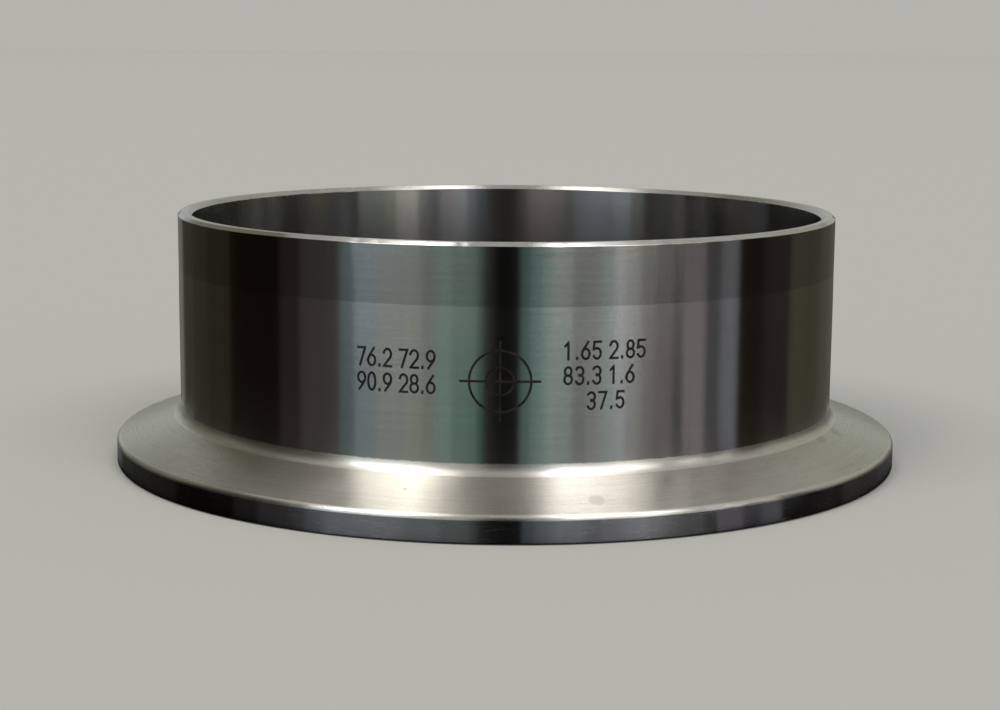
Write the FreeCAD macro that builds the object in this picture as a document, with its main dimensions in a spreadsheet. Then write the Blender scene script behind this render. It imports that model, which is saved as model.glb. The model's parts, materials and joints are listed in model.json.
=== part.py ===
"""Long weld ferrule for a 3-inch hygienic tube: a short thin-walled tube with a tapered clamp flange.

The ferrule is turned from one piece of stainless steel. It stands on the flat mating face of its
flange. The tube rises along +Z to the weld end, and the origin is the centre of the mating face.
Lengths are millimetres and angles are degrees.
"""

import FreeCAD, Part
import math
import os

import Sketcher

DOCUMENT_NAME = "WeldFerrule"
SHEET_NAME = "Sizes"
BODY_NAME = "clamp_ferrule"
PARTS_FOLDER = "parts"

# Alias, value, and what the size is.
SIZES = [
    ("tube_diameter", 76.2, "outside diameter of the tube"),
    ("tube_wall", 1.65, "wall of the tube, with the same bore all the way through"),
    ("overall_length", 28.575, "mating face to weld end"),
    ("flange_projection", 7.355, "how far the flange stands out from the tube, on the radius"),
    ("flange_edge", 2.85, "height of the flange's edge, up to the sharp corner of the taper"),
    ("taper_angle", 20.0, "slope of the clamp taper against the mating face"),
    ("lip_rounding", 0.6, "radius where the flange's edge turns into the taper"),
    ("neck_fillet", 1.2, "radius where the taper meets the tube"),
    ("heel_break", 0.2, "chamfer between the flange's edge and the mating face"),
    ("groove_inset", 3.8, "flange's edge to the middle of the gasket groove, on the radius"),
    ("groove_depth", 1.6, "depth of the gasket groove from the mating face"),
    ("groove_section", 2.3, "radius of the groove's round floor"),
    ("groove_flank_angle", 50.0, "slope of the groove's flanks against the mating face"),
    ("weld_band_length", 6.35, "length of the lightly turned band below the weld end"),
    ("weld_band_skim", 0.03, "how much the band is turned down, on the radius"),
    ("weld_end_outer_break", 0.35, "chamfer on the outside of the weld end"),
    ("weld_end_inner_break", 0.45, "chamfer on the inside of the weld end"),
]

# What the sketches are driven by, beside the sheet's own cells.
FORMULAS = {
    "bore_radius": "Sizes.tube_diameter / 2 - Sizes.tube_wall",
    "tube_radius": "Sizes.tube_diameter / 2",
    "band_radius": "Sizes.tube_diameter / 2 - Sizes.weld_band_skim",
    "flange_radius": "Sizes.tube_diameter / 2 + Sizes.flange_projection",
    "taper_rise": "Sizes.flange_projection * tan(Sizes.taper_angle * 1 deg)",
    "band_foot": "Sizes.overall_length - Sizes.weld_band_length",
    "groove_radius": "Sizes.tube_diameter / 2 + Sizes.flange_projection - Sizes.groove_inset",
    "groove_centre": "Sizes.groove_depth - Sizes.groove_section",
    "groove_flank_angle": "Sizes.groove_flank_angle * 1 deg",
    "groove_overcut": "Sizes.groove_depth",
}

# The half section's rounded corners, and the size of each.
ROUNDINGS = {
    "lip": "lip_rounding",
    "neck": "neck_fillet",
}

FULL_TURN = 360.0
EDGE_TOLERANCE = 1e-3
UPRIGHT = FreeCAD.Vector(0, 0, 1)
# How a constraint names the origin, the horizontal axis, and the points of a line or an arc.
ORIGIN = (-1, 1)
HORIZONTAL_AXIS = -1
START, END, CENTRE = 1, 2, 3


def make_sheet(doc):
    """The driving dimensions: one row each, with an alias that the features use."""
    sheet = doc.addObject("Spreadsheet::Sheet", SHEET_NAME)
    for row, (alias, value, meaning) in enumerate(SIZES, start=1):
        sheet.set(f"A{row}", alias)
        sheet.set(f"B{row}", str(value))
        sheet.set(f"C{row}", meaning)
        sheet.setAlias(f"B{row}", alias)
    doc.recompute()
    return sheet


def new_sketch(body, name):
    """A sketch on the body's XZ plane: its x is the radius and its y is the height."""
    sketch = body.newObject("Sketcher::SketchObject", name)
    plane = next(feature for feature in body.Origin.OriginFeatures if feature.Role == "XZ_Plane")
    sketch.AttachmentSupport = (plane, "")
    sketch.MapMode = "FlatFace"
    return sketch


def bind(sketch, name, *constraint):
    """Adds a driving constraint, names it and ties it to the formula or cell of that name."""
    index = sketch.addConstraint(Sketcher.Constraint(*constraint))
    sketch.renameConstraint(index, name)
    sketch.setExpression(f"Constraints.{name}", FORMULAS.get(name, f"Sizes.{name}"))


def arc_between(centre, radius, first, second):
    """The counterclockwise arc from the first point to the second."""
    circle = Part.Circle(centre, UPRIGHT, radius)
    return Part.ArcOfCircle(circle, circle.parameter(first), circle.parameter(second))


def round_corner(before, corner, after, radius):
    """Where an arc that rounds a corner touches both lines, and the arc's centre."""
    back = (before - corner).normalize()
    ahead = (after - corner).normalize()
    half_angle = back.getAngle(ahead) / 2
    reach = radius / math.tan(half_angle)
    centre = corner + (back + ahead).normalize() * (radius / math.sin(half_angle))
    return corner + back * reach, corner + ahead * reach, centre


def section_corners(sheet):
    """The half section's corners, counterclockwise from the bore's foot, before any is rounded."""
    tube = sheet.tube_diameter / 2
    bore = tube - sheet.tube_wall
    band = tube - sheet.weld_band_skim
    flange = tube + sheet.flange_projection
    band_foot = sheet.overall_length - sheet.weld_band_length
    taper_rise = sheet.flange_projection * math.tan(math.radians(sheet.taper_angle))
    places = {
        "bore_foot": (bore, 0),
        "heel": (flange, 0),
        "lip": (flange, sheet.flange_edge),
        "neck": (tube, sheet.flange_edge + taper_rise),
        "band_step": (tube, band_foot),
        "band_foot": (band, band_foot),
        "weld_end_outer": (band, sheet.overall_length),
        "weld_end_inner": (bore, sheet.overall_length),
    }
    return {name: FreeCAD.Vector(radius, height, 0) for name, (radius, height) in places.items()}


def draw_outline(sketch, corners, roundings):
    """Joins the corners by lines, with a tangent arc at each rounded one.

    Returns the lines by the name of the corner where each starts.
    """
    names = list(corners)
    following = dict(zip(names, names[1:] + names[:1]))
    previous = {after: before for before, after in following.items()}
    arrivals, departures, arcs = dict(corners), dict(corners), {}
    for name, radius in roundings.items():
        before, corner, after = corners[previous[name]], corners[name], corners[following[name]]
        arrival, departure, centre = round_corner(before, corner, after, radius)
        arrivals[name], departures[name] = arrival, departure
        is_convex = (corner - before).cross(after - corner).z > 0
        ends = (arrival, departure) if is_convex else (departure, arrival)
        arcs[name] = (sketch.addGeometry(arc_between(centre, radius, *ends), False), is_convex)

    lines = {}
    for name in names:
        segment = Part.LineSegment(departures[name], arrivals[following[name]])
        lines[name] = sketch.addGeometry(segment, False)
    for name in names:
        incoming, outgoing = lines[previous[name]], lines[name]
        if name in arcs:
            arc, is_convex = arcs[name]
            first, last = (START, END) if is_convex else (END, START)
            sketch.addConstraint(Sketcher.Constraint("Tangent", incoming, END, arc, first))
            sketch.addConstraint(Sketcher.Constraint("Tangent", arc, last, outgoing, START))
            bind(sketch, ROUNDINGS[name], "Radius", arc, roundings[name])
        else:
            sketch.addConstraint(Sketcher.Constraint("Coincident", incoming, END, outgoing, START))
    return lines


def draw_half_section(body, sheet):
    """Half of the ferrule's section, with no freedom left."""
    sketch = new_sketch(body, "half_section")
    corners = section_corners(sheet)
    roundings = {name: getattr(sheet, alias) for name, alias in ROUNDINGS.items()}
    lines = draw_outline(sketch, corners, roundings)

    mating_face, flange_edge, taper, tube_wall, band_step, band_wall, weld_end, bore_wall = lines.values()
    for line in (mating_face, band_step, weld_end):
        sketch.addConstraint(Sketcher.Constraint("Horizontal", line))
    for line in (flange_edge, tube_wall, band_wall, bore_wall):
        sketch.addConstraint(Sketcher.Constraint("Vertical", line))
    sketch.addConstraint(Sketcher.Constraint("PointOnObject", mating_face, START, HORIZONTAL_AXIS))
    sharp = {}
    for name, wall in (("lip", flange_edge), ("neck", tube_wall)):
        sharp[name] = sketch.addGeometry(Part.Point(corners[name]), True)
        sketch.addConstraint(Sketcher.Constraint("PointOnObject", sharp[name], START, wall))
        sketch.addConstraint(Sketcher.Constraint("PointOnObject", sharp[name], START, taper))

    for name, line, corner in (
        ("bore_radius", mating_face, "bore_foot"),
        ("flange_radius", flange_edge, "heel"),
        ("tube_radius", tube_wall, "neck"),
        ("band_radius", band_wall, "band_foot"),
    ):
        bind(sketch, name, "DistanceX", *ORIGIN, line, START, corners[corner].x)
    for name, item, corner in (
        ("flange_edge", sharp["lip"], "lip"),
        ("band_foot", band_wall, "band_foot"),
        ("overall_length", weld_end, "weld_end_outer"),
    ):
        bind(sketch, name, "DistanceY", *ORIGIN, item, START, corners[corner].y)
    rise = corners["neck"].y - corners["lip"].y
    bind(sketch, "taper_rise", "DistanceY", sharp["lip"], START, sharp["neck"], START, rise)
    return sketch


def draw_groove_section(body, sheet):
    """The gasket groove's section: a round floor between flanks that leave it tangentially.

    The flanks run on below the mating face, to the line that closes the section.
    """
    sketch = new_sketch(body, "groove_section")
    slope = math.radians(sheet.groove_flank_angle)
    middle = sheet.tube_diameter / 2 + sheet.flange_projection - sheet.groove_inset
    centre = FreeCAD.Vector(middle, sheet.groove_depth - sheet.groove_section, 0)
    half_floor, rise = sheet.groove_section * math.sin(slope), sheet.groove_section * math.cos(slope)
    overcut = sheet.groove_depth
    half_mouth = half_floor + (overcut + centre.y + rise) / math.tan(slope)
    outer_foot = centre + FreeCAD.Vector(half_floor, rise, 0)
    inner_foot = centre + FreeCAD.Vector(-half_floor, rise, 0)
    outer_end = FreeCAD.Vector(middle + half_mouth, -overcut, 0)
    inner_end = FreeCAD.Vector(middle - half_mouth, -overcut, 0)

    floor = sketch.addGeometry(arc_between(centre, sheet.groove_section, outer_foot, inner_foot), False)
    inner_flank = sketch.addGeometry(Part.LineSegment(inner_foot, inner_end), False)
    mouth = sketch.addGeometry(Part.LineSegment(inner_end, outer_end), False)
    outer_flank = sketch.addGeometry(Part.LineSegment(outer_end, outer_foot), False)
    sketch.addConstraint(Sketcher.Constraint("Tangent", floor, END, inner_flank, START))
    sketch.addConstraint(Sketcher.Constraint("Coincident", inner_flank, END, mouth, START))
    sketch.addConstraint(Sketcher.Constraint("Coincident", mouth, END, outer_flank, START))
    sketch.addConstraint(Sketcher.Constraint("Tangent", outer_flank, END, floor, START))
    sketch.addConstraint(Sketcher.Constraint("Horizontal", mouth))
    sketch.addConstraint(Sketcher.Constraint("Equal", inner_flank, outer_flank))
    bind(sketch, "groove_section", "Radius", floor, sheet.groove_section)
    bind(sketch, "groove_radius", "DistanceX", *ORIGIN, floor, CENTRE, centre.x)
    bind(sketch, "groove_centre", "DistanceY", *ORIGIN, floor, CENTRE, centre.y)
    bind(sketch, "groove_overcut", "DistanceY", mouth, START, *ORIGIN, overcut)
    bind(sketch, "groove_flank_angle", "Angle", outer_flank, START, mouth, END, slope)
    return sketch


def turn(body, kind, name, sketch):
    """Sweeps a sketch once about the bore axis, as metal that is added or cut away."""
    feature = body.newObject(kind, name)
    feature.Profile = sketch
    feature.ReferenceAxis = (sketch, ["V_Axis"])
    feature.Angle = FULL_TURN
    sketch.Visibility = False
    body.Document.recompute()
    return feature


def break_edge(body, name, corner):
    """Chamfers the round edge that a corner of the half section leaves, by the size that bears the name."""
    base = body.Tip
    edges = [
        f"Edge{number}"
        for number, edge in enumerate(base.Shape.Edges, start=1)
        if isinstance(edge.Curve, Part.Circle)
        and abs(edge.Curve.Radius - corner.x) < EDGE_TOLERANCE
        and abs(edge.Curve.Center.z - corner.y) < EDGE_TOLERANCE
    ]
    if len(edges) != 1:
        raise RuntimeError(f"{name} needs one round edge and found {edges}")
    chamfer = body.newObject("PartDesign::Chamfer", name)
    chamfer.Base = (base, edges)
    chamfer.setExpression("Size", f"Sizes.{name}")
    body.Document.recompute()


def make_ferrule(doc, sheet):
    """The whole ferrule: the turned blank, the gasket groove, and the edges broken on the lathe."""
    body = doc.addObject("PartDesign::Body", BODY_NAME)
    body.Label = BODY_NAME
    body.Placement = FreeCAD.Placement()

    blank = turn(body, "PartDesign::Revolution", "turned_blank", draw_half_section(body, sheet))
    groove = turn(body, "PartDesign::Groove", "gasket_groove", draw_groove_section(body, sheet))
    if groove.Shape.Volume >= blank.Shape.Volume:
        raise RuntimeError("the gasket groove cuts nothing")

    corners = section_corners(sheet)
    break_edge(body, "heel_break", corners["heel"])
    break_edge(body, "weld_end_outer_break", corners["weld_end_outer"])
    break_edge(body, "weld_end_inner_break", corners["weld_end_inner"])
    return body


def check_document(doc, bodies):
    """Stops if a feature failed, a sketch is loose, or a body isn't one sound solid."""
    doc.recompute()
    for item in doc.Objects:
        if "Invalid" in item.State or "Error" in item.State:
            raise RuntimeError(f"{item.Name} failed: {item.State}")
        if item.TypeId == "Sketcher::SketchObject" and not item.FullyConstrained:
            raise RuntimeError(f"{item.Name} isn't fully constrained")
    for body in bodies:
        shape = body.Shape
        if shape.isNull() or not shape.isValid() or len(shape.Solids) != 1:
            raise RuntimeError(f"{body.Label} isn't one sound solid")


def main():
    doc = FreeCAD.newDocument(DOCUMENT_NAME)
    sheet = make_sheet(doc)
    bodies = [make_ferrule(doc, sheet)]
    check_document(doc, bodies)
    os.makedirs(PARTS_FOLDER, exist_ok=True)
    for body in bodies:
        body.Shape.exportStep(os.path.join(PARTS_FOLDER, f"{body.Label}.step"))
        print(f"{body.Label}: {len(body.Shape.Faces)} faces, {body.Shape.Volume:.0f} mm3")


main()
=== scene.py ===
"""Finish, wear, etched marks and studio for a long weld ferrule of turned stainless steel.

The scene's frame is the CAD model's: the origin is the centre of the mating face, +Z runs along the
bore to the weld end, and -Y faces the camera. Lengths in the tables are millimetres, and MM turns
them into metres. An azimuth is in degrees from -Y, and grows towards +X.
"""

import json
import math
import random

import bpy
import numpy as np
from mathutils import Matrix, Vector


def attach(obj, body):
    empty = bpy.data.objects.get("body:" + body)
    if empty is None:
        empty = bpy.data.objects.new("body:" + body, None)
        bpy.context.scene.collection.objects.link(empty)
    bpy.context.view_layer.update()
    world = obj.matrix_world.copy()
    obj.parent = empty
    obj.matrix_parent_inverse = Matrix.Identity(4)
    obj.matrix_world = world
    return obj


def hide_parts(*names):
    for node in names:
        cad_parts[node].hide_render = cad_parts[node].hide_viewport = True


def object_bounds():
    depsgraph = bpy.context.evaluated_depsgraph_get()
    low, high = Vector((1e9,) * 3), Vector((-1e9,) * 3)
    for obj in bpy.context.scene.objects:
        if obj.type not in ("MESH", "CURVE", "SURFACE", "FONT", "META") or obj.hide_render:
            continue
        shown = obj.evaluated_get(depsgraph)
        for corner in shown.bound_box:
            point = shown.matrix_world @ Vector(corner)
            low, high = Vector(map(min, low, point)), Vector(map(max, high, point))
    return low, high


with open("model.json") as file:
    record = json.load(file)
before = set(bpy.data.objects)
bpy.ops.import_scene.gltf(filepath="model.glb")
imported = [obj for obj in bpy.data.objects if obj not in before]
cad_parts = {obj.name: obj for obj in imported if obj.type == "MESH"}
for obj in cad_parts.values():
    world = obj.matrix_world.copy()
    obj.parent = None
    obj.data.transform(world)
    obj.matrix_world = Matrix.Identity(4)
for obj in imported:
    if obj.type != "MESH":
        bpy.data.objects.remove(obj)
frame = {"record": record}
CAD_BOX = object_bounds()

MM = 0.001
NODE = "clamp_ferrule"
BODY = "root"

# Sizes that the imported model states.
MOUNTS = {mount["name"]: mount for mount in frame["record"]["mounts"]}
BORE_RADIUS = MOUNTS["tube_bore"]["dims"]["r_mm"]
TUBE_RADIUS = MOUNTS["tube_outside"]["dims"]["r_mm"]
LENGTH = CAD_BOX[1].z / MM

# The rest of the turned section, as the solid has it.
FLANGE_RADIUS = 45.455
EDGE_HEIGHT = 2.85
TAPER_ANGLE = math.radians(20)
LIP_ROUNDING = 0.6
NECK_FILLET = 1.2
HEEL_BREAK = 0.2
GROOVE_RADIUS = 41.655
GROOVE_DEPTH = 1.6
GROOVE_SECTION = 2.3
GROOVE_FLANK = math.radians(50)
BAND_LENGTH = 6.35
BAND_SKIM = 0.03
OUTER_BREAK = 0.35
INNER_BREAK = 0.45
# The solid's step at the foot of the turned band is run out down the wall, so that it shows no edge.
BAND_FADE = 4
BAND_FADE_ROUNDING = 480
BAND_FOOT_ROUNDING = 1
# No corner is left knife-sharp: these take the edge off.
DEBURR = 0.06
RIM_DEBURR = 0.08


# The turned body

SEGMENTS = 720
LONGEST_STEP = 1.5

# Azimuth, width and depth of the nicks that show at the front of the rim.
RIM_NICKS = [
    (-22.9, 0.45, 0.07),
    (-19.6, 0.4, 0.08),
    (-12.0, 0.5, 0.05),
    (-6.6, 0.35, 0.07),
    (8.4, 0.5, 0.05),
    (22.6, 0.45, 0.06),
    (27.5, 0.6, 0.06),
]
# Wear that is scattered all round an edge: seed, number of dents, width and depth of the largest.
OUTER_RIM_WEAR = (3, 60, 0.5, 0.05)
INNER_RIM_WEAR = (5, 40, 0.5, 0.05)
LIP_WEAR = (7, 24, 0.6, 0.04)
# The other dents are smaller than the largest, by shares between these.
WEAR_WIDTHS = (0.35, 1)
WEAR_DEPTHS = (0.2, 1)
# Which way each edge gives, as a step of the radius and of the height.
OUTER_RIM_GIVES = (-0.7, -0.7)
INNER_RIM_GIVES = (0.7, -0.7)
LIP_GIVES = (-0.8, -0.6)
# A dent is a little narrower across its edge than along it.
DENT_ACROSS = 0.8


def section_corners():
    """The half section's corners, counterclockwise.

    Each row: radius, height, rounding, steps of the rounding, its finish, finish of the face after it.
    """
    band = TUBE_RADIUS - BAND_SKIM
    band_foot = LENGTH - BAND_LENGTH
    neck = EDGE_HEIGHT + (FLANGE_RADIUS - TUBE_RADIUS) * math.tan(TAPER_ANGLE)
    apex = GROOVE_DEPTH - GROOVE_SECTION + GROOVE_SECTION / math.cos(GROOVE_FLANK)
    half_mouth = apex / math.tan(GROOVE_FLANK)
    return [
        (BORE_RADIUS, 0, DEBURR, 2, "face", "face"),
        (GROOVE_RADIUS - half_mouth, 0, DEBURR, 2, "face", "face"),
        (GROOVE_RADIUS, apex, GROOVE_SECTION, 12, "face", "face"),
        (GROOVE_RADIUS + half_mouth, 0, DEBURR, 2, "face", "face"),
        (FLANGE_RADIUS - HEEL_BREAK, 0, DEBURR, 2, "face", "edge"),
        (FLANGE_RADIUS, HEEL_BREAK, DEBURR, 2, "edge", "edge"),
        (FLANGE_RADIUS, EDGE_HEIGHT, LIP_ROUNDING, 8, "lip", "taper"),
        (TUBE_RADIUS, neck, NECK_FILLET, 12, "fillet", "wall"),
        (TUBE_RADIUS, band_foot - BAND_FADE, BAND_FADE_ROUNDING, 6, "wall", "wall"),
        (band, band_foot, BAND_FOOT_ROUNDING, 1, "wall", "band"),
        (band, LENGTH - OUTER_BREAK, RIM_DEBURR, 4, "break", "break"),
        (band - OUTER_BREAK, LENGTH, RIM_DEBURR, 4, "rim", "rim"),
        (BORE_RADIUS + INNER_BREAK, LENGTH, RIM_DEBURR, 4, "rim", "rim"),
        (BORE_RADIUS, LENGTH - INNER_BREAK, RIM_DEBURR, 4, "rim", "bore"),
    ]


def rounded_corner(before, corner, after, radius, steps):
    """The points of the arc that rounds a corner, in the outline's order."""
    back, ahead = (before - corner).normalized(), (after - corner).normalized()
    half_angle = back.angle(ahead) / 2
    reach = radius / math.tan(half_angle)
    centre = corner + (back + ahead).normalized() * (radius / math.sin(half_angle))
    first, last = corner + back * reach - centre, corner + ahead * reach - centre
    start = math.atan2(first.y, first.x)
    turn = (math.atan2(last.y, last.x) - start + math.pi) % (2 * math.pi) - math.pi
    angles = [start + turn * step / steps for step in range(steps + 1)]
    return [centre + Vector((math.cos(angle), math.sin(angle))) * radius for angle in angles]


def section_outline():
    """The half section as a closed run of points, and the finish of the run that starts at each."""
    rows = section_corners()
    places = [Vector(row[:2]) for row in rows]
    arcs = []
    for index, (_, _, radius, steps, _, _) in enumerate(rows):
        before, after = places[index - 1], places[(index + 1) % len(rows)]
        arcs.append(rounded_corner(before, places[index], after, radius, steps))
    points, finishes = [], []
    for index, (_, _, _, steps, arc_finish, face_finish) in enumerate(rows):
        arc = arcs[index]
        target = arcs[(index + 1) % len(rows)][0]
        points += arc
        finishes += [arc_finish] * steps
        count = max(1, math.ceil((target - arc[-1]).length / LONGEST_STEP))
        points += [arc[-1].lerp(target, step / count) for step in range(1, count)]
        finishes += [face_finish] * count
    return np.array([tuple(point) for point in points]), finishes


def dent_corner(rings, angles, corner, gives, dents):
    """Presses small dents into a round corner of the lathe mesh, each one a soft round hollow."""
    for azimuth, width, depth in dents:
        along = (angles - math.radians(azimuth) + math.pi) % (2 * math.pi) - math.pi
        along = along * corner[0]
        across = np.hypot(rings[:, :, 0] - corner[0], rings[:, :, 1] - corner[1])
        share = np.exp(-((along[:, None] / width) ** 2) - (across / (width * DENT_ACROSS)) ** 2)
        rings += (depth * share)[:, :, None] * np.array(gives)


def scattered_dents(seed, count, widest, deepest):
    """Dents from handling, all round an edge: azimuth, width and depth of each."""
    chance = random.Random(seed)
    dents = []
    for _ in range(count):
        azimuth = chance.uniform(-180, 180)
        width = chance.uniform(*WEAR_WIDTHS) * widest
        dents.append((azimuth, width, chance.uniform(*WEAR_DEPTHS) * deepest))
    return dents


def soft_normals(points, quads):
    """Normals of the mesh's points, weighted by area so that flat faces stay flat up to their edges."""
    corners = points[quads]
    areas = np.cross(corners[:, 2] - corners[:, 0], corners[:, 3] - corners[:, 1])
    normals = np.zeros_like(points)
    for column in range(4):
        np.add.at(normals, quads[:, column], areas)
    return normals / np.linalg.norm(normals, axis=1)[:, None]


def link(piece):
    """Puts a new object into the scene."""
    bpy.context.scene.collection.objects.link(piece)
    return piece


def make_ferrule(finish_materials):
    """The whole ferrule as one closed lathe mesh, worn at its edges, with a slot for each finish."""
    outline, finishes = section_outline()
    angles = np.arange(SEGMENTS) * (2 * math.pi / SEGMENTS)
    rings = np.repeat(outline[None, :, :], SEGMENTS, axis=0)
    outer_rim, inner_rim = (TUBE_RADIUS - BAND_SKIM, LENGTH), (BORE_RADIUS, LENGTH)
    lip = (FLANGE_RADIUS, EDGE_HEIGHT)
    dent_corner(rings, angles, outer_rim, OUTER_RIM_GIVES, RIM_NICKS + scattered_dents(*OUTER_RIM_WEAR))
    dent_corner(rings, angles, inner_rim, INNER_RIM_GIVES, scattered_dents(*INNER_RIM_WEAR))
    dent_corner(rings, angles, lip, LIP_GIVES, scattered_dents(*LIP_WEAR))

    count = len(outline)
    points = np.empty((SEGMENTS, count, 3))
    points[:, :, 0] = rings[:, :, 0] * np.sin(angles)[:, None]
    points[:, :, 1] = -rings[:, :, 0] * np.cos(angles)[:, None]
    points[:, :, 2] = rings[:, :, 1]
    points = points.reshape(-1, 3) * MM
    here = np.arange(SEGMENTS)[:, None] * count + np.arange(count)[None, :]
    beyond = np.roll(here, -1, axis=0)
    quads = np.stack([here, beyond, np.roll(beyond, -1, axis=1), np.roll(here, -1, axis=1)], axis=2)
    quads = quads.reshape(-1, 4)

    mesh = bpy.data.meshes.new("ferrule")
    mesh.from_pydata(points.tolist(), [], quads.tolist())
    names = list(finish_materials)
    for name in names:
        mesh.materials.append(finish_materials[name])
    slots = np.tile([names.index(finish) for finish in finishes], SEGMENTS)
    mesh.polygons.foreach_set("material_index", slots)
    mesh.polygons.foreach_set("use_smooth", [True] * len(mesh.polygons))
    mesh.normals_split_custom_set_from_vertices(soft_normals(points, quads).tolist())
    mesh.update()
    ferrule = link(bpy.data.objects.new("ferrule", mesh))
    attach(ferrule, BODY)
    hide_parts(NODE)


# Etched marks: plain size numbers and a centre mark

# Each row of numbers: text, left end along the wall from the front, base line, digit height, advance.
LEFT_NUMBERS = [
    ("76.2 72.9", -15.2, 15.95, 1.75, 1.12),
    ("90.9 28.6", -15.2, 13.45, 1.75, 1.12),
]
RIGHT_NUMBERS = [
    ("1.65 2.85", 5.9, 17.0, 1.7, 1.16),
    ("83.3 1.6", 5.9, 14.5, 1.7, 1.16),
    ("37.5", 8.3, 11.95, 1.65, 1.2),
]
# The centre mark: its place along the wall, height and outer radius. Its inner ring and the reach of
# its cross are shares of that radius.
CENTRE_MARK = (-0.5, 14.8, 3.1)
INNER_RING = 0.45
CROSS_REACH = 1.28
# The strokes: width, height above the wall, depth below it, longest run between two points.
STROKE_WIDTH = 0.24
STROKE_HEIGHT = 0.012
STROKE_SINK = 0.02
STROKE_STEP = 0.35
# A stroke whose ends are closer than this share of its width is a loop.
LOOP_GAP = 0.1
# The cosine past which a bend's mitre grows no longer.
SHARPEST_MITRE = 0.6
# The width of a cell, as a share of the digit's height, and that of a narrow sign, of the advance.
GLYPH_WIDTH = 0.45
NARROW_SIGNS = ". "
NARROW_SHARE = 0.52


def bow(cx, cy, rx, ry, start, end, steps=14):
    """Points of an elliptical arc, in degrees."""
    angles = [math.radians(start + (end - start) * step / steps) for step in range(steps + 1)]
    return [(cx + rx * math.cos(angle), cy + ry * math.sin(angle)) for angle in angles]


def glyphs():
    """The strokes of each digit in a cell one unit high, as a single-line engraving font has them."""
    right, middle = GLYPH_WIDTH, GLYPH_WIDTH / 2
    return {
        "0": [bow(middle, 0.5, middle, 0.5, 0, 360, 28)],
        "1": [[(middle * 0.2, 0.78), (middle, 1), (middle, 0)]],
        "2": [bow(middle, 0.7, middle, 0.3, 165, -35) + [(0, 0), (right, 0)]],
        "3": [bow(middle, 0.74, middle, 0.26, 150, -90), bow(middle, 0.26, middle, 0.28, 90, -155)],
        "5": [[(right, 1), (0.06, 1), (0.02, 0.56)] + bow(middle, 0.31, middle, 0.31, 118, -150)],
        "6": [bow(middle, 0.3, middle, 0.3, 0, 360, 24), [(right * 0.8, 1), (0.05, 0.5), (0, 0.3)]],
        "7": [[(0, 1), (right, 1), (right * 0.3, 0)]],
        "8": [
            bow(middle, 0.75, middle * 0.86, 0.25, 0, 360, 24),
            bow(middle, 0.26, middle, 0.26, 0, 360, 24),
        ],
        "9": [
            bow(middle, 0.7, middle, 0.3, 0, 360, 24),
            [(right, 0.7), (right * 0.95, 0.5), (right * 0.2, 0)],
        ],
        ".": [[(middle, 0), (middle, 0.07)]],
    }


def number_strokes(text, left, base, height, advance):
    """The strokes of a row of plain numbers on the unrolled tube wall."""
    cells = glyphs()
    strokes = []
    for sign in text:
        step = advance * (NARROW_SHARE if sign in NARROW_SIGNS else 1)
        inset = (step - advance) / 2
        for stroke in cells.get(sign, []):
            strokes.append([(left + inset + x * height, base + y * height) for x, y in stroke])
        left += step
    return strokes


def centre_mark_strokes(across, up, radius):
    """Two rings with a cross through them that reaches past the outer one."""
    reach, inner = radius * CROSS_REACH, radius * INNER_RING
    return [
        bow(across, up, radius, radius, 0, 360, 56),
        bow(across, up, inner, inner, 0, 360, 32),
        [(across - reach, up), (across + reach, up)],
        [(across, up - reach), (across, up + reach)],
    ]


def ribbon_sides(stroke, width):
    """The left and right side of a stroke, mitred at its bends and squared off past its ends."""
    points = [Vector(point) for point in stroke]
    closed = (points[0] - points[-1]).length < width * LOOP_GAP
    if closed:
        points = points[:-1]
    count = len(points)
    sides = []
    for index, point in enumerate(points):
        before = points[index - 1] if closed or index else None
        after = points[(index + 1) % count] if closed or index < count - 1 else None
        runs = [(point - before).normalized()] if before is not None else []
        runs += [(after - point).normalized()] if after is not None else []
        along = sum(runs, Vector((0, 0))).normalized()
        spread = width / 2 / max(SHARPEST_MITRE, along.dot(runs[0]))
        across = Vector((-along.y, along.x)) * spread
        if not closed and index in (0, count - 1):
            point = point + along * (width / 2 if index else -width / 2)
        sides.append((point + across, point - across))
    return sides, closed


def finely(stroke):
    """The stroke with more points on its long runs, so that it can follow the round wall."""
    points = [stroke[0]]
    for start, end in zip(stroke, stroke[1:]):
        count = max(1, math.ceil(math.dist(start, end) / STROKE_STEP))
        shares = [step / count for step in range(1, count + 1)]
        points += [tuple(a + (b - a) * share for a, b in zip(start, end)) for share in shares]
    return points


def make_marks(name, strokes, material):
    """Thin ribbons wrapped on the tube wall, sunk a little so that they close against it."""
    points, faces = [], []
    for stroke in strokes:
        sides, closed = ribbon_sides(finely(stroke), STROKE_WIDTH)
        first = len(points)
        for side in sides:
            for radius in (TUBE_RADIUS - STROKE_SINK, TUBE_RADIUS + STROKE_HEIGHT):
                for flat in side:
                    angle = flat.x / TUBE_RADIUS
                    points.append((radius * math.sin(angle), -radius * math.cos(angle), flat.y))
        count = len(sides)
        runs = count if closed else count - 1
        for run in range(runs):
            a, b = first + run * 4, first + (run + 1) % count * 4
            for start, end in ((0, 1), (1, 3), (3, 2), (2, 0)):
                faces.append((a + start, b + start, b + end, a + end))
        if not closed:
            last = first + (count - 1) * 4
            faces.append((first, first + 1, first + 3, first + 2))
            faces.append((last + 2, last + 3, last + 1, last))
    mesh = bpy.data.meshes.new(name)
    mesh.from_pydata([tuple(value * MM for value in point) for point in points], [], faces)
    mesh.materials.append(material)
    mesh.validate()
    mesh.update()
    marks = link(bpy.data.objects.new(name, mesh))
    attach(marks, BODY)


# Materials

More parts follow.
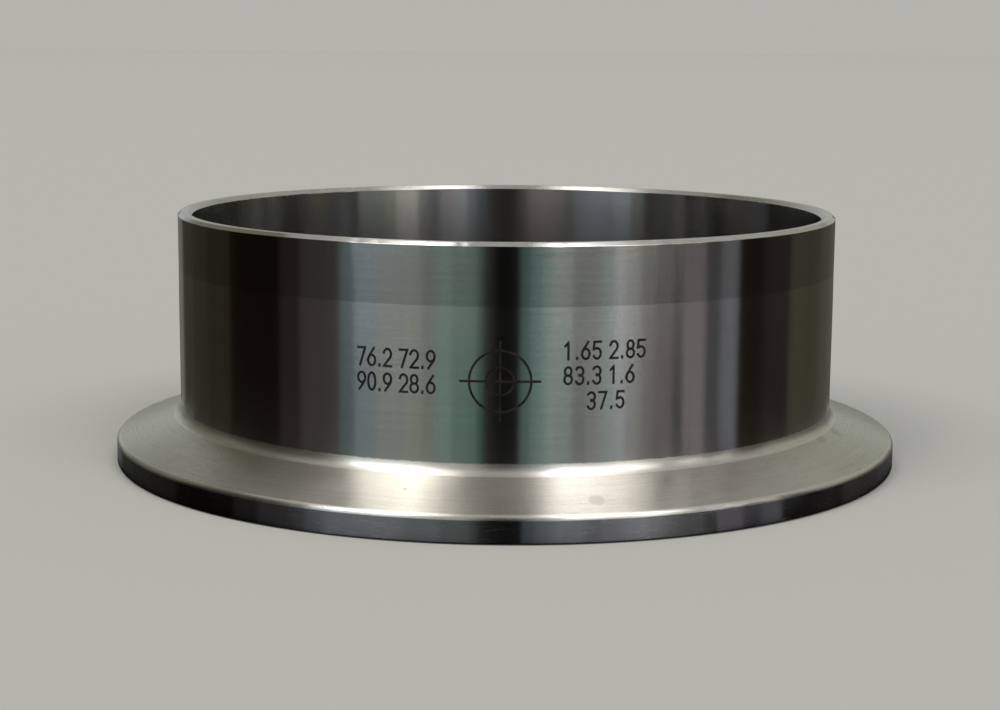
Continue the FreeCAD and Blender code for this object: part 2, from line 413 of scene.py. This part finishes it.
# Finish, colour, roughness, anisotropy, pitch of the lines, their depth, depth of the grain, mottle,
# and how cloudy the finish is, from 0 to 1. The colours are those of one steel, made lighter on the
# fillet and the lip as painted highlight, and darker on the flange's edge and in the bore as painted
# shade.
FINISHES = [
    ("wall", (0.55, 0.54, 0.52), 0.17, 1.0, 0.2, 0.001, 0.0003, 0.08, 0.1),
    ("band", (0.425, 0.418, 0.402), 0.17, 1.0, 0.2, 0.001, 0.0003, 0.08, 0.1),
    ("taper", (0.61, 0.595, 0.555), 0.29, 0.97, 0.3, 0.0015, 0.0012, 0.12, 0.3),
    # The fillet and the lip are lighter than the wall, as painted highlight.
    ("fillet", (0.8, 0.785, 0.745), 0.31, 1.0, 0.3, 0.001, 0.002, 0.08, 0.2),
    ("lip", (0.76, 0.745, 0.715), 0.28, 1.0, 0.3, 0.0008, 0.0008, 0.05, 0.2),
    # The edge is darker, as painted shade.
    ("edge", (0.34, 0.335, 0.355), 0.22, 0.98, 0.25, 0.0008, 0.0006, 0.07, 0.2),
    ("rim", (0.62, 0.61, 0.595), 0.26, 1.0, 0.25, 0.001, 0.003, 0.07, 0.2),
    ("break", (0.66, 0.65, 0.635), 0.17, 1.0, 0.25, 0.001, 0.002, 0.07, 0.2),
    # The bore is darker, as painted shade.
    ("bore", (0.45, 0.44, 0.425), 0.165, 1.0, 0.3, 0.0005, 0.0002, 0.05, 0.1),
    ("face", (0.56, 0.55, 0.53), 0.32, 0.8, 0.2, 0.002, 0.001, 0.05, 0.3),
]
GRAIN_SIZE = 0.22
# How quickly the lathe lines change round the axis.
LINE_WANDER = 3.0
# The Tangent node's direction runs along the turning, and a quarter turn lays the smear across it.
SMEAR_TURN = 0.25
# Large soft blotches vary the roughness, by this share in the cloudiest finish.
BLOTCH_SIZE = 9.0
CLOUDY_SPREAD = 0.3
# The spans of the noises over which the tone and the roughness change.
NOISE_SPAN = (0.3, 0.7)
BLOTCH_SPAN = (0.2, 0.8)
# Finishes that fine scratches show on, and how strongly. They run like the lathe lines but are short,
# and show where the noise is over the cut.
SCRATCHED = {"taper": 0.8, "fillet": 0.6, "rim": 0.5, "break": 0.6, "edge": 0.6}
SCRATCH_PITCH = 0.13
SCRATCH_WANDER = 22.0
SCRATCH_CUT = (0.56, 0.68)
SCRATCH_ROUGHENS = 0.08
SCRATCH_TONE = 0.8
# The satin of the fillet runs a little way up the wall, to a ragged edge.
FOOT_SATIN = 6.36
FOOT_BLEND = 0.16
FOOT_WAVER = 0.25
FOOT_RAGGED = 0.5
SATIN_COLOUR = (0.62, 0.6, 0.55)
SATIN_ROUGHNESS = 0.34

# Handling marks. Each row: finish, azimuth, radius, height, reach along X, Y and Z, size of the ragged
# edge, colour, strength.
GREY_FILM = (0.33, 0.33, 0.3)
BROWN_FILM = (0.3, 0.25, 0.18)
STAIN_ROUGHENS = 0.06
# A mark fades out between these shares of its reach, and noise moves its edge by this share of it.
STAIN_FADE = (0.7, 1.1)
STAIN_WAVER = 1.1
STAINS = [
    ("taper", 12.2, 42.9, 3.77, (0.95, 0.95, 1.0), 1.6, GREY_FILM, 0.45),
    ("taper", 70.0, 39.5, 5.05, (0.7, 1.7, 1.0), 0.6, BROWN_FILM, 0.35),
    ("taper", 62.5, 39.0, 5.2, (0.9, 1.5, 1.0), 0.6, BROWN_FILM, 0.3),
    ("taper", -13.7, 41.4, 4.32, (0.14, 0.2, 0.3), 0.5, BROWN_FILM, 0.9),
    ("taper", 31.0, 42.4, 3.95, (2.4, 1.2, 1.0), 1.4, GREY_FILM, 0.12),
    ("band", 9.0, 38.1, 27.4, (3.2, 3.0, 0.4), 0.7, BROWN_FILM, 0.45),
    ("band", 17.0, 38.1, 27.6, (2.6, 3.0, 0.35), 0.6, BROWN_FILM, 0.35),
    ("wall", 148.0, 38.1, 14.0, (3.5, 3.0, 2.4), 1.8, GREY_FILM, 0.25),
    ("wall", -125.0, 38.1, 18.0, (2.4, 3.0, 1.2), 1.2, GREY_FILM, 0.3),
    ("taper", -150.0, 42.0, 4.1, (2.0, 1.6, 1.0), 1.2, BROWN_FILM, 0.3),
]

# The film of the etched marks: its darkest and lightest tone, the size of its patches, the values of
# the noise that they lie between, its least and greatest roughness, and its gloss.
OXIDE_DARK = (0.006, 0.005, 0.004)
OXIDE_BROWN = (0.026, 0.019, 0.014)
OXIDE_PATCH = 0.6
OXIDE_SPAN = (0.35, 0.7)
OXIDE_ROUGHNESS = (0.45, 0.65)
OXIDE_GLOSS = 0.25

# The Mix node's outputs share one name: this is the colour's.
COLOUR_RESULT = 2


class Nodes:
    """A short way to write a node tree: add() makes a node, fills its inputs and returns an output."""

    def __init__(self, material):
        material.use_nodes = True
        self.tree = material.node_tree
        self.tree.nodes.clear()

    def make(self, kind, settings=None, inputs=None):
        node = self.tree.nodes.new(kind)
        for name, value in (settings or {}).items():
            setattr(node, name, value)
        for name, value in (inputs or {}).items():
            if isinstance(value, bpy.types.NodeSocket):
                self.tree.links.new(value, node.inputs[name])
            else:
                node.inputs[name].default_value = value
        return node

    def add(self, kind, settings=None, inputs=None, output=0):
        return self.make(kind, settings, inputs).outputs[output]

    def maths(self, operation, *values, clamp=False):
        settings = {"operation": operation, "use_clamp": clamp}
        return self.add("ShaderNodeMath", settings, dict(enumerate(values)))

    def remap(self, value, low, high, to_low, to_high):
        return self.add(
            "ShaderNodeMapRange",
            {"interpolation_type": "SMOOTHSTEP"},
            {"Value": value, "From Min": low, "From Max": high, "To Min": to_low, "To Max": to_high},
        )

    def blend(self, share, first, second):
        inputs = {"Factor": share, "A": first, "B": second}
        return self.add("ShaderNodeMix", {"data_type": "RGBA"}, inputs, COLOUR_RESULT)


def turned_coordinates(nodes):
    """Radius, height and the direction round the axis of the point that is shaded, in metres."""
    place = nodes.add("ShaderNodeTexCoord", output="Object")
    split = nodes.make("ShaderNodeSeparateXYZ", inputs={0: place})
    flat = nodes.add("ShaderNodeCombineXYZ", inputs={0: split.outputs[0], 1: split.outputs[1]})
    radius = nodes.add("ShaderNodeVectorMath", {"operation": "LENGTH"}, {0: flat}, output="Value")
    around = nodes.add("ShaderNodeVectorMath", {"operation": "NORMALIZE"}, {0: flat})
    return place, radius, split.outputs[2], around


def lathe_lines(nodes, radius, height, around, pitch, wander):
    """Fine lines round the axis: noise that changes quickly along the section and slowly round it."""
    density = 1 / (pitch * MM)
    split = nodes.make("ShaderNodeSeparateXYZ", inputs={0: around})
    vector = nodes.add(
        "ShaderNodeCombineXYZ",
        inputs={
            0: nodes.maths("MULTIPLY", split.outputs[0], wander),
            1: nodes.maths("MULTIPLY", split.outputs[1], wander),
            2: nodes.maths("MULTIPLY", height, density),
        },
    )
    depth = nodes.maths("MULTIPLY", radius, density)
    return nodes.add(
        "ShaderNodeTexNoise",
        {"noise_dimensions": "4D"},
        {"Vector": vector, "W": depth, "Scale": 1.0, "Detail": 3.0, "Roughness": 0.6},
    )


def cloud(nodes, place, size, detail=3.0):
    """Soft blotches of about that size, in millimetres."""
    inputs = {"Vector": place, "Scale": 1 / (size * MM), "Detail": detail}
    return nodes.add("ShaderNodeTexNoise", inputs=inputs)


def scratches(nodes, radius, height, around):
    """Short fine scratches along the turning, 1 where one runs and 0 between them."""
    fine = lathe_lines(nodes, radius, height, around, SCRATCH_PITCH, SCRATCH_WANDER)
    return nodes.remap(fine, *SCRATCH_CUT, 0.0, 1.0)


def near(nodes, place, centre, reach, ragged):
    """A soft-edged patch of the surface round a point: 1 inside, 0 outside."""
    centre, reach = [value * MM for value in centre], [value * MM for value in reach]
    offset = nodes.add("ShaderNodeVectorMath", {"operation": "SUBTRACT"}, {0: place, 1: centre})
    scaled = nodes.add("ShaderNodeVectorMath", {"operation": "DIVIDE"}, {0: offset, 1: reach})
    distance = nodes.add("ShaderNodeVectorMath", {"operation": "LENGTH"}, {0: scaled}, output="Value")
    noise = nodes.maths("SUBTRACT", cloud(nodes, place, ragged), 0.5)
    waver = nodes.maths("MULTIPLY", noise, STAIN_WAVER)
    return nodes.remap(nodes.maths("ADD", distance, waver), *STAIN_FADE, 1.0, 0.0)


def steel(name, base, roughness, anisotropy, pitch, line_depth, grain_depth, mottle, cloudy):
    """Steel cut on a lathe: the grain runs round the axis and smears reflections across it."""
    material = bpy.data.materials.new(f"steel_{name}")
    nodes = Nodes(material)
    place, radius, height, around = turned_coordinates(nodes)
    lines = lathe_lines(nodes, radius, height, around, pitch, LINE_WANDER)
    blotches = cloud(nodes, place, BLOTCH_SIZE)
    grain = cloud(nodes, place, GRAIN_SIZE, detail=2.0)

    light = tuple(min(1.0, value * (1 + mottle)) for value in base) + (1.0,)
    dark = tuple(value * (1 - mottle) for value in base) + (1.0,)
    tone = nodes.maths("ADD", nodes.maths("MULTIPLY", lines, 0.5), nodes.maths("MULTIPLY", grain, 0.5))
    tone = nodes.blend(cloudy, tone, blotches)
    colour = nodes.blend(nodes.remap(tone, *NOISE_SPAN, 0.0, 1.0), dark, light)
    spread = CLOUDY_SPREAD * cloudy
    rough = nodes.remap(blotches, *BLOTCH_SPAN, roughness * (1 - spread), roughness * (1 + spread))
    if name in SCRATCHED:
        scratch = scratches(nodes, radius, height, around)
        rough = nodes.maths("ADD", rough, nodes.maths("MULTIPLY", scratch, SCRATCH_ROUGHENS))
        worn = tuple(value * SCRATCH_TONE for value in base) + (1.0,)
        colour = nodes.blend(nodes.maths("MULTIPLY", scratch, SCRATCHED[name]), colour, worn)
    if name == "wall":
        ragged = nodes.maths("SUBTRACT", cloud(nodes, place, FOOT_RAGGED, detail=4.0), 0.5)
        wavering = nodes.maths("ADD", height, nodes.maths("MULTIPLY", ragged, FOOT_WAVER * MM))
        satin = nodes.remap(wavering, FOOT_SATIN * MM, (FOOT_SATIN + FOOT_BLEND) * MM, 1.0, 0.0)
        colour = nodes.blend(satin, colour, SATIN_COLOUR + (1.0,))
        rough = nodes.maths("ADD", rough, nodes.maths("MULTIPLY", satin, SATIN_ROUGHNESS - roughness))
    for finish, azimuth, at_radius, at_height, reach, ragged, stain, strength in STAINS:
        if finish == name:
            centre = (*(value / MM for value in spoke(at_radius, math.radians(azimuth))), at_height)
            patch = nodes.maths("MULTIPLY", near(nodes, place, centre, reach, ragged), strength)
            colour = nodes.blend(patch, colour, stain + (1.0,))
            rough = nodes.maths("ADD", rough, nodes.maths("MULTIPLY", patch, STAIN_ROUGHENS))

    cuts = {"Strength": 1.0, "Distance": line_depth * MM, "Height": lines}
    relief = nodes.add("ShaderNodeBump", inputs=cuts)
    pits = {"Strength": 1.0, "Distance": grain_depth * MM, "Height": grain, "Normal": relief}
    relief = nodes.add("ShaderNodeBump", inputs=pits)
    tangent = nodes.add("ShaderNodeTangent", {"direction_type": "RADIAL", "axis": "Z"})
    shader = nodes.add(
        "ShaderNodeBsdfPrincipled",
        inputs={
            "Base Color": colour,
            "Metallic": 1.0,
            "Roughness": rough,
            "Anisotropic": anisotropy,
            "Anisotropic Rotation": SMEAR_TURN,
            "Normal": relief,
            "Tangent": tangent,
        },
    )
    nodes.make("ShaderNodeOutputMaterial", inputs={"Surface": shader})
    return material


def etched_oxide():
    """The dark brown film that an etching pen leaves, a little uneven in tone."""
    material = bpy.data.materials.new("etched_oxide")
    nodes = Nodes(material)
    place, _, _, _ = turned_coordinates(nodes)
    patches = nodes.remap(cloud(nodes, place, OXIDE_PATCH), *OXIDE_SPAN, 0.0, 1.0)
    shader = nodes.add(
        "ShaderNodeBsdfPrincipled",
        inputs={
            "Base Color": nodes.blend(patches, OXIDE_DARK + (1.0,), OXIDE_BROWN + (1.0,)),
            "Metallic": 0.0,
            "Roughness": nodes.remap(patches, 0.0, 1.0, *OXIDE_ROUGHNESS),
            "Specular IOR Level": OXIDE_GLOSS,
        },
    )
    nodes.make("ShaderNodeOutputMaterial", inputs={"Surface": shader})
    return material


# Studio

FLOOR_RADIUS = 6000
FLOOR_SIDES = 96
FLOOR_COLOUR = (0.46, 0.464, 0.4405)
# The world: the tone that the camera and the metal see, and the strength of its light on the rest.
BACKDROP_COLOUR = (0.459, 0.4545, 0.421)
FILL_LIGHT = 0.45


def make_floor():
    """A plain pale disc without gloss, so that it shows nothing of the studio cards."""
    material = bpy.data.materials.new("floor")
    nodes = Nodes(material)
    inputs = {"Base Color": FLOOR_COLOUR + (1.0,), "Roughness": 1.0, "Specular IOR Level": 0.0}
    shader = nodes.add("ShaderNodeBsdfPrincipled", inputs=inputs)
    nodes.make("ShaderNodeOutputMaterial", inputs={"Surface": shader})
    turns = [2 * math.pi * side / FLOOR_SIDES for side in range(FLOOR_SIDES)]
    mesh = bpy.data.meshes.new("floor")
    rim = [(*spoke(FLOOR_RADIUS, turn), 0) for turn in turns]
    mesh.from_pydata(rim, [], [tuple(range(FLOOR_SIDES))])
    mesh.materials.append(material)
    link(bpy.data.objects.new("floor", mesh))


def spoke(radius, azimuth):
    """The x and y of a point at that radius and azimuth, in metres."""
    return radius * MM * math.sin(azimuth), -radius * MM * math.cos(azimuth)


# Studio cards that only the metal mirrors: cards that lie on the floor round the part, with painted
# shadow under the flange's heel, a ring of screens that stands far round it, and a dark card inside the
# bore, which is painted shade in place of the floor there. What they show the camera in a round mirror
# depends on the heading of the mirrored ray, so their tones are laid out by heading.
CARD_LIFT = 0.1
# The skirt's radii and the painted shadow there, as shares of its tones: it is darkened as the shade
# under the flange, darkest under the heel.
SKIRT_RADII = (44.8, 45.7, 46.3, 48, 50, 54, 58)
SKIRT_PAINTED_SHADOW = (0.02, 0.02, 0.6, 0.85, 0.9, 1, 1)
# The flange's edge shows the colours of the bands only faintly.
SKIRT_TINT = (1.0, 0.97, 1.05)
SKIRT_DULLNESS = 0.65
TABLE_RADII = (58, 64, 72, 84, 100, 130, 180, 260, 380, 700, 1300, 2500)
SCREEN_RADIUS = TABLE_RADII[-1]
SCREEN_FOOT = math.radians(2)
SCREEN_TOP = math.radians(29)
RAY_STEPS = 1440
# Degrees of heading over which one tone passes into the next.
SOFT_EDGE = 1.2
# Faint streaks in the tones: seed, degrees between them, how much they differ, where they end.
STREAK_SEED = 11
STREAK_PITCH = 1.3
STREAK_DEPTH = 0.1
STREAK_END = 372
# The bore card is painted shade: a dark sheet inside the bore, in the tone NIGHT.
BORE_CARD_RADIUS = 36.2
BORE_CARD_SIDES = 90
NIGHT = (0.008, 0.007, 0.006)

# Heading where the tones start, in degrees, tone of the table cards and tone of the screens. Past
# the last heading that the camera sees mirrored, the scale goes on round the back, twice as fast.
SURROUNDINGS = [
    (-370, (0.2, 0.2, 0.19), (0.4, 0.41, 0.39)),
    (-330, (0.05, 0.05, 0.046), (0.36, 0.37, 0.35)),
    (-300, (0.36, 0.36, 0.345), (0.42, 0.43, 0.41)),
    (-250, (0.1, 0.098, 0.09), (0.4, 0.41, 0.39)),
    (-205, (0.28, 0.28, 0.265), (0.42, 0.43, 0.41)),
    (-170, (0.16, 0.16, 0.14), (0.42, 0.43, 0.4)),
    (-152, (0.045, 0.045, 0.034), (0.25, 0.26, 0.22)),
    (-138, (0.034, 0.034, 0.024), (0.12, 0.12, 0.1)),
    (-124, (0.026, 0.024, 0.014), (0.05, 0.048, 0.04)),
    (-108, (0.006, 0.004, 0.002), (0.005, 0.004, 0.003)),
    (-82, (0.028, 0.021, 0.017), (0.005, 0.005, 0.004)),
    (-73, (0.062, 0.056, 0.049), (0.01, 0.01, 0.01)),
    (-57, (0.065, 0.105, 0.12), (0.55, 0.66, 0.64)),
    (-51.5, (0.125, 0.16, 0.165), (1.3, 1.55, 1.75)),
    (-44, (0.2, 0.21, 0.175), (0.95, 1.12, 1.35)),
    (-34, (0.2, 0.24, 0.17), (0.85, 0.92, 1.15)),
    (-28, (0.16, 0.2, 0.165), (0.55, 0.6, 0.58)),
    (-23, (0.115, 0.225, 0.17), (0.95, 0.88, 0.95)),
    (-18, (0.055, 0.165, 0.115), (1.05, 0.9, 0.92)),
    (-9.5, (0.02, 0.08, 0.062), (0.58, 0.56, 0.48)),
    (-7.2, (0.002, 0.002, 0.002), (0.25, 0.25, 0.2)),
    (-4, (0.002, 0.002, 0.002), (0.003, 0.003, 0.002)),
    (4.8, (0.095, 0.165, 0.15), (0.02, 0.02, 0.02)),
    (8, (0.16, 0.25, 0.235), (0.25, 0.35, 0.42)),
    (12, (0.235, 0.33, 0.265), (0.7, 0.85, 1.0)),
    (16, (0.175, 0.235, 0.175), (1.5, 1.62, 1.72)),
    (22, (0.09, 0.12, 0.08), (1.3, 1.25, 1.45)),
    (27, (0.215, 0.225, 0.2), (0.55, 0.6, 0.65)),
    (31.5, (0.26, 0.315, 0.3), (0.9, 0.93, 0.93)),
    (36, (0.22, 0.25, 0.29), (2.5, 2.5, 2.35)),
    (40.5, (0.13, 0.14, 0.155), (2.3, 2.3, 2.1)),
    (45.5, (0.11, 0.095, 0.105), (1.2, 1.32, 1.12)),
    (50.5, (0.105, 0.075, 0.085), (0.85, 1.0, 0.83)),
    (57.5, (0.008, 0.006, 0.006), (1.0, 1.02, 1.0)),
    (62, (0.228, 0.2, 0.212), (0.01, 0.01, 0.01)),
    (70.5, (0.083, 0.082, 0.086), (0.01, 0.01, 0.01)),
    (77, (0.165, 0.175, 0.21), (0.25, 0.23, 0.05)),
    (85, (0.012, 0.008, 0.005), (0.004, 0.004, 0.003)),
    (97, (0.018, 0.012, 0.009), (0.01, 0.01, 0.008)),
    (113, (0.06, 0.058, 0.037), (0.03, 0.03, 0.02)),
    (138, (0.075, 0.075, 0.06), (0.15, 0.15, 0.12)),
    (152, (0.09, 0.09, 0.075), (0.4, 0.41, 0.36)),
    (170, (0.24, 0.24, 0.23), (0.42, 0.43, 0.41)),
    (205, (0.1, 0.098, 0.09), (0.4, 0.41, 0.39)),
    (250, (0.36, 0.36, 0.345), (0.42, 0.43, 0.41)),
    (300, (0.05, 0.05, 0.046), (0.36, 0.37, 0.35)),
    (330, (0.2, 0.2, 0.19), (0.4, 0.41, 0.39)),
    (370, (0.2, 0.2, 0.19), (0.4, 0.41, 0.39)),
]
# Panes that stand inside the ring of screens: two narrow windows, dark flags above the screens that
# keep the taper and the fillet from mirroring a bright room, and a paler wall on either side. Each
# row: name, first and last heading, distance, elevation of the foot and of the top, tone.
PANES = [
    ("window_near", 67.5, 74, 2300, 20, 40, (2.6, 2.55, 2.5)),
    ("window_far", 82, 88, 2300, 20, 40, (1.8, 1.75, 1.7)),
    ("flag", -7.5, 4.8, 2400, 12, 44, NIGHT),
    ("flag_front", -64, 62, 2450, 16, 36, (0.09, 0.09, 0.085)),
    ("flag_left", -104, -64, 2450, 16, 47, (0.06, 0.06, 0.045)),
    ("wall_left", -150, -104, 2450, 12, 47, (0.17, 0.175, 0.135)),
    ("flag_right", 62, 100, 2450, 12, 44, (0.09, 0.085, 0.075)),
    ("wall_right", 100, 150, 2450, 8, 36, (0.38, 0.39, 0.32)),
]


def mirrored_rays(mirror_radius):
    """What a round mirror shows the camera: azimuth on it, the ray's heading, its place on the scale.

    The first two are in radians, and the place is in degrees, as in the tables.
    """
    distance = -CAMERA_PLACE[1]
    last = math.acos(mirror_radius / distance)
    last_heading = last + math.pi / 2
    rays = []
    for step in range(RAY_STEPS + 1):
        azimuth = math.pi * (2 * step / RAY_STEPS - 1)
        side = math.copysign(1, azimuth)
        if abs(azimuth) < last:
            x, y = mirror_radius * math.sin(azimuth), -mirror_radius * math.cos(azimuth)
            heading = 2 * azimuth + math.atan2(x, y + distance)
            place = heading
        else:
            beyond = abs(azimuth) - last
            heading = side * (last_heading + beyond * (math.pi - last_heading) / (math.pi - last))
            place = side * (last_heading + 2 * beyond)
        rays.append((azimuth, heading, math.degrees(place)))
    return rays


def crossing(mirror_radius, azimuth, heading, radius):
    """The azimuth at which a mirrored ray crosses a circle round the part."""
    return heading - math.asin(mirror_radius * math.sin(heading - azimuth) / radius)


def surrounding_tones(places, column):
    """The tones at places on the scale, soft at their edges and with faint streaks."""
    stops, tones = [], []
    for row, after in zip(SURROUNDINGS, SURROUNDINGS[1:]):
        stops += [row[0] + SOFT_EDGE / 2, after[0] - SOFT_EDGE / 2]
        tones += [row[column], row[column]]
    tones = np.array(tones)
    chance = np.random.default_rng(STREAK_SEED + column)
    knots = np.arange(-STREAK_END, STREAK_END + 1, STREAK_PITCH)
    streaks = 1 + STREAK_DEPTH * chance.uniform(-1, 1, len(knots))
    streak = np.interp(places, knots, streaks)
    return np.stack([np.interp(places, stops, tones[:, band]) * streak for band in range(3)], axis=1)


def make_card(name, grid, tones, painted_shadow=1):
    """A sheet over a grid of points that glows in the tone of each column, for the metal alone."""
    columns, rows = len(grid), len(grid[0])
    points = [point for column in grid for point in column]
    faces = [
        (a * rows + b, a * rows + b + 1, (a + 1) * rows + b + 1, (a + 1) * rows + b)
        for a in range(columns - 1)
        for b in range(rows - 1)
    ]
    mesh = bpy.data.meshes.new(name)
    mesh.from_pydata(points, [], faces)
    layer = mesh.color_attributes.new("tone", "FLOAT_COLOR", "POINT")
    colours = np.ones((columns, rows, 4))
    # painted_shadow darkens the card's rows: on the skirt it is painted shadow under the flange's heel.
    colours[:, :, :3] = np.array(tones)[:, None, :] * (np.ones(rows) * painted_shadow)[None, :, None]
    layer.data.foreach_set("color", colours.ravel())
    material = bpy.data.materials.new(name)
    nodes = Nodes(material)
    tone = nodes.add("ShaderNodeVertexColor", {"layer_name": "tone"})
    shader = nodes.add("ShaderNodeEmission", inputs={"Color": tone, "Strength": 1.0})
    nodes.make("ShaderNodeOutputMaterial", inputs={"Surface": shader})
    material.cycles.emission_sampling = "NONE"
    mesh.materials.append(material)
    card = link(bpy.data.objects.new(name, mesh))
    card.visible_camera = False
    card.visible_diffuse = False
    card.visible_shadow = False
    card.visible_transmission = False


def make_flat_cards():
    """The cards on the floor: a skirt that the flange's edge mirrors, with painted shadow under the
    heel, and a table for the tube.
    """
    for name, mirror_radius, radii, painted_shadow, dullness in (
        ("skirt", FLANGE_RADIUS, SKIRT_RADII, SKIRT_PAINTED_SHADOW, SKIRT_DULLNESS),
        ("table", TUBE_RADIUS, TABLE_RADII, 1, 0),
    ):
        rays = mirrored_rays(mirror_radius)
        grid = []
        for azimuth, heading, _ in rays:
            column = []
            for radius in radii:
                at = azimuth
                if radius >= mirror_radius:
                    at = crossing(mirror_radius, azimuth, heading, radius)
                column.append((*spoke(radius, at), CARD_LIFT * MM))
            grid.append(column)
        tones = surrounding_tones([place for _, _, place in rays], 1)
        dull = tones.mean(axis=1, keepdims=True) * SKIRT_TINT
        make_card(name, grid, tones + (dull - tones) * dullness, painted_shadow)


def make_upright_card(name, radius, low, high, rays, tones):
    """A card that stands where the tube's mirrored rays reach that radius, between two elevations."""
    foot, top = (radius * MM * math.tan(angle) for angle in (low, high))
    places = [
        spoke(radius, crossing(TUBE_RADIUS, azimuth, heading, radius)) for azimuth, heading, _ in rays
    ]
    make_card(name, [[(*place, foot), (*place, top)] for place in places], tones)


def make_upright_cards():
    """The ring of screens with its skirting, and the panes that stand inside it."""
    rays = mirrored_rays(TUBE_RADIUS)
    scale = [place for _, _, place in rays]
    tones = [surrounding_tones(scale, column) for column in (1, 2)]
    make_upright_card("skirting", SCREEN_RADIUS, 0, SCREEN_FOOT, rays, tones[0])
    make_upright_card("screens", SCREEN_RADIUS, SCREEN_FOOT, SCREEN_TOP, rays, tones[1])
    for name, first, last, radius, low, high, tone in PANES:
        inside = [ray for ray in rays if first <= ray[2] <= last]
        low, high = math.radians(low), math.radians(high)
        make_upright_card(name, radius, low, high, inside, [tone] * len(inside))


def make_bore_painted_shade():
    """The dark card that lies inside the bore: painted shade, which the bore mirrors in place of the
    floor within it.
    """
    centre = (0, 0, CARD_LIFT * MM)
    turns = [2 * math.pi * side / BORE_CARD_SIDES for side in range(BORE_CARD_SIDES + 1)]
    grid = [[centre, (*spoke(BORE_CARD_RADIUS, turn), CARD_LIFT * MM)] for turn in turns]
    make_card("bore_painted_shade", grid, [NIGHT] * len(turns))


# Tall softboxes, upright like windows. Each row: name, first and last azimuth, elevation of the foot
# and of the top, brightness, colour.
SOFTBOXES = [
    ("softbox_left", -70.5, -34, 38, 76, 4.9, (1.0, 0.975, 0.91)),
    ("softbox_right", 20.5, 62.5, 38, 76, 4.2, (1.0, 0.96, 0.93)),
]
SOFTBOX_DISTANCE = 25000


def make_softbox(name, first, last, low, high, brightness, colour):
    """An upright area lamp that faces the part, between two azimuths and two elevations."""
    turn = math.radians(first + last) / 2
    distance = SOFTBOX_DISTANCE * MM
    width = 2 * distance * math.tan(math.radians(last - first) / 2)
    foot, top = (distance * math.tan(math.radians(angle)) for angle in (low, high))
    lamp = bpy.data.lights.new(name, "AREA")
    lamp.shape = "RECTANGLE"
    lamp.size, lamp.size_y = width, top - foot
    lamp.energy = brightness * math.pi * width * (top - foot)
    lamp.color = colour
    softbox = link(bpy.data.objects.new(name, lamp))
    back = Vector((math.sin(turn), -math.cos(turn), 0))
    softbox.location = back * distance + Vector((0, 0, (foot + top) / 2))
    softbox.rotation_mode = "QUATERNION"
    softbox.rotation_quaternion = back.to_track_quat("Z", "Y")
    softbox.visible_camera = False


def make_world():
    """A plain backdrop for the camera and the metal, and a soft white fill for all else."""
    world = bpy.data.worlds.new("studio")
    bpy.context.scene.world = world
    nodes = Nodes(world)
    rays = nodes.make("ShaderNodeLightPath")
    seen = nodes.maths("ADD", rays.outputs["Is Camera Ray"], rays.outputs["Is Glossy Ray"])
    seen = nodes.maths("ADD", seen, rays.outputs["Is Transmission Ray"], clamp=True)
    plain = {"Color": BACKDROP_COLOUR + (1.0,), "Strength": 1.0}
    fill = {"Color": (1.0, 1.0, 1.0, 1.0), "Strength": FILL_LIGHT}
    backdrop = nodes.add("ShaderNodeBackground", inputs=plain)
    light = nodes.add("ShaderNodeBackground", inputs=fill)
    both = nodes.add("ShaderNodeMixShader", inputs={0: seen, 1: light, 2: backdrop})
    nodes.make("ShaderNodeOutputWorld", inputs={"Surface": both})


# Camera, fitted to the outlines of the rim, tube and flange in the photograph

PHOTO_WIDTH = 1000
FOCAL_PIXELS = 1944.08
SENSOR_WIDTH = 36.0
# Its place, and its angles in radians.
CAMERA_PLACE = (0.0, -227.80, 48.59)
CAMERA_DROP = 0.1626
CAMERA_ROLL = 0.0072
CAMERA_YAW = -0.0028
NEAREST_SEEN = 10


def make_camera():
    """The camera at its fitted place, turned by its fitted angles."""
    ahead = Vector(
        (
            math.sin(CAMERA_YAW) * math.cos(CAMERA_DROP),
            math.cos(CAMERA_YAW) * math.cos(CAMERA_DROP),
            -math.sin(CAMERA_DROP),
        )
    )
    level = Vector((math.cos(CAMERA_YAW), -math.sin(CAMERA_YAW), 0))
    upright = level.cross(ahead)
    right = math.cos(CAMERA_ROLL) * level + math.sin(CAMERA_ROLL) * upright
    up = math.cos(CAMERA_ROLL) * upright - math.sin(CAMERA_ROLL) * level
    lens = bpy.data.cameras.new("camera")
    lens.sensor_width = SENSOR_WIDTH
    lens.lens = FOCAL_PIXELS * SENSOR_WIDTH / PHOTO_WIDTH
    lens.clip_start = NEAREST_SEEN * MM
    camera = link(bpy.data.objects.new("camera", lens))
    turn = Matrix((right, up, -ahead)).transposed().to_4x4()
    camera.matrix_world = Matrix.Translation(Vector(CAMERA_PLACE) * MM) @ turn
    bpy.context.scene.camera = camera


def main():
    bpy.context.scene.view_settings.view_transform = "Standard"
    make_camera()
    make_world()
    make_floor()
    make_flat_cards()
    make_upright_cards()
    make_bore_painted_shade()
    for softbox in SOFTBOXES:
        make_softbox(*softbox)

    make_ferrule({row[0]: steel(*row) for row in FINISHES})
    ink = etched_oxide()
    left = [stroke for row in LEFT_NUMBERS for stroke in number_strokes(*row)]
    right = [stroke for row in RIGHT_NUMBERS for stroke in number_strokes(*row)]
    make_marks("numbers_left", left, ink)
    make_marks("centre_mark", centre_mark_strokes(*CENTRE_MARK), ink)
    make_marks("numbers_right", right, ink)


main()
